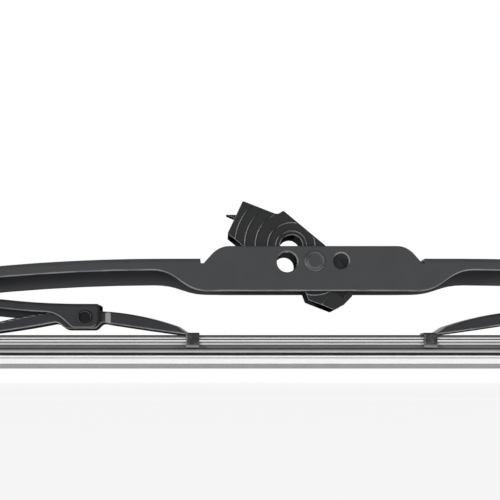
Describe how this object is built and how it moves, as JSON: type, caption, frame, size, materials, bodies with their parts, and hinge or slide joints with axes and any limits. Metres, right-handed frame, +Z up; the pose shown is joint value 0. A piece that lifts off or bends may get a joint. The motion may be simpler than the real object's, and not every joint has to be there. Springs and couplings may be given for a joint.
{
  "type": "wiper blade",
  "caption": "Framed wiper blade: a pressed-steel bridge with rocking levers and claw yokes carries a rubber wiping strip, and a plastic adapter swings on its pin to take the wiper arm.",
  "frame": {"origin": "middle of the pivot pin that the adapter swings on", "axes": "+X along the blade, +Y across it away from the seen side, +Z up from the glass"},
  "size_m": [0.5588, 0.0156, 0.056],
  "materials": {
    "painted_steel": "satin",
    "adapter_plastic": "satin",
    "liner_plastic": "matte",
    "graphite_rubber": "graphite sheen",
    "spring_steel": "bright"
  },
  "bodies": {
    "frame": {"primary_bridge": "painted_steel", "pivot_pin": "painted_steel", "wiping_rubber": "graphite_rubber", "near_flexor": "spring_steel", "far_flexor": "spring_steel", "left_bridge_rivet": "painted_steel", "left_bridge_liner": "liner_plastic", "right_bridge_rivet": "painted_steel", "right_bridge_liner": "liner_plastic"},
    "connector": {"adapter": "adapter_plastic"},
    "left_lever": {"left_secondary_lever": "painted_steel", "left_inner_yoke_rivet": "painted_steel", "left_inner_yoke_liner": "liner_plastic", "left_outer_yoke_rivet": "painted_steel", "left_outer_yoke_liner": "liner_plastic"},
    "left_inner_claws": {"left_inner_yoke": "painted_steel"},
    "left_outer_claws": {"left_outer_yoke": "painted_steel"},
    "right_lever": {"right_secondary_lever": "painted_steel", "right_inner_yoke_rivet": "painted_steel", "right_inner_yoke_liner": "liner_plastic", "right_outer_yoke_rivet": "painted_steel", "right_outer_yoke_liner": "liner_plastic"},
    "right_inner_claws": {"right_inner_yoke": "painted_steel"},
    "right_outer_claws": {"right_outer_yoke": "painted_steel"}
  },
  "joints": [
    {"name": "adapter_swing", "type": "hinge", "parent": "frame", "child": "connector", "pos_m": [0, 0, 0], "axis": [0, 1, 0], "range_deg": [-36.5, 53.5]},
    {"name": "left_lever_rock", "type": "hinge", "parent": "frame", "child": "left_lever", "pos_m": [-0.1526, 0, -0.01343], "axis": [0, -1, 0], "range_deg": [-1, 3], "stiffness_Nm_per_rad": 1.2, "deforming": ["wiping_rubber", "near_flexor", "far_flexor"]},
    {"name": "left_inner_yoke_rock", "type": "hinge", "parent": "left_lever", "child": "left_inner_claws", "pos_m": [-0.0772, 0, -0.01843], "axis": [0, -1, 0], "range_deg": [-1.6, 0.53]},
    {"name": "left_outer_yoke_rock", "type": "hinge", "parent": "left_lever", "child": "left_outer_claws", "pos_m": [-0.228, 0, -0.01843], "axis": [0, -1, 0], "range_deg": [-0.53, 1.6]},
    {"name": "right_lever_rock", "type": "hinge", "parent": "frame", "child": "right_lever", "pos_m": [0.1514, 0, -0.01343], "axis": [0, 1, 0], "range_deg": [-1, 3]},
    {"name": "right_inner_yoke_rock", "type": "hinge", "parent": "right_lever", "child": "right_inner_claws", "pos_m": [0.076, 0, -0.01843], "axis": [0, 1, 0], "range_deg": [-1.6, 0.53]},
    {"name": "right_outer_yoke_rock", "type": "hinge", "parent": "right_lever", "child": "right_outer_claws", "pos_m": [0.2268, 0, -0.01843], "axis": [0, 1, 0], "range_deg": [-0.53, 1.6]}
  ],
  "couplings": [
    {"joint": "left_inner_yoke_rock", "follows": "left_lever_rock", "ratio": -0.484},
    {"joint": "left_outer_yoke_rock", "follows": "left_lever_rock", "ratio": 0.484},
    {"joint": "right_lever_rock", "follows": "left_lever_rock", "ratio": 1},
    {"joint": "right_inner_yoke_rock", "follows": "left_lever_rock", "ratio": -0.484},
    {"joint": "right_outer_yoke_rock", "follows": "left_lever_rock", "ratio": 0.484}
  ]
}
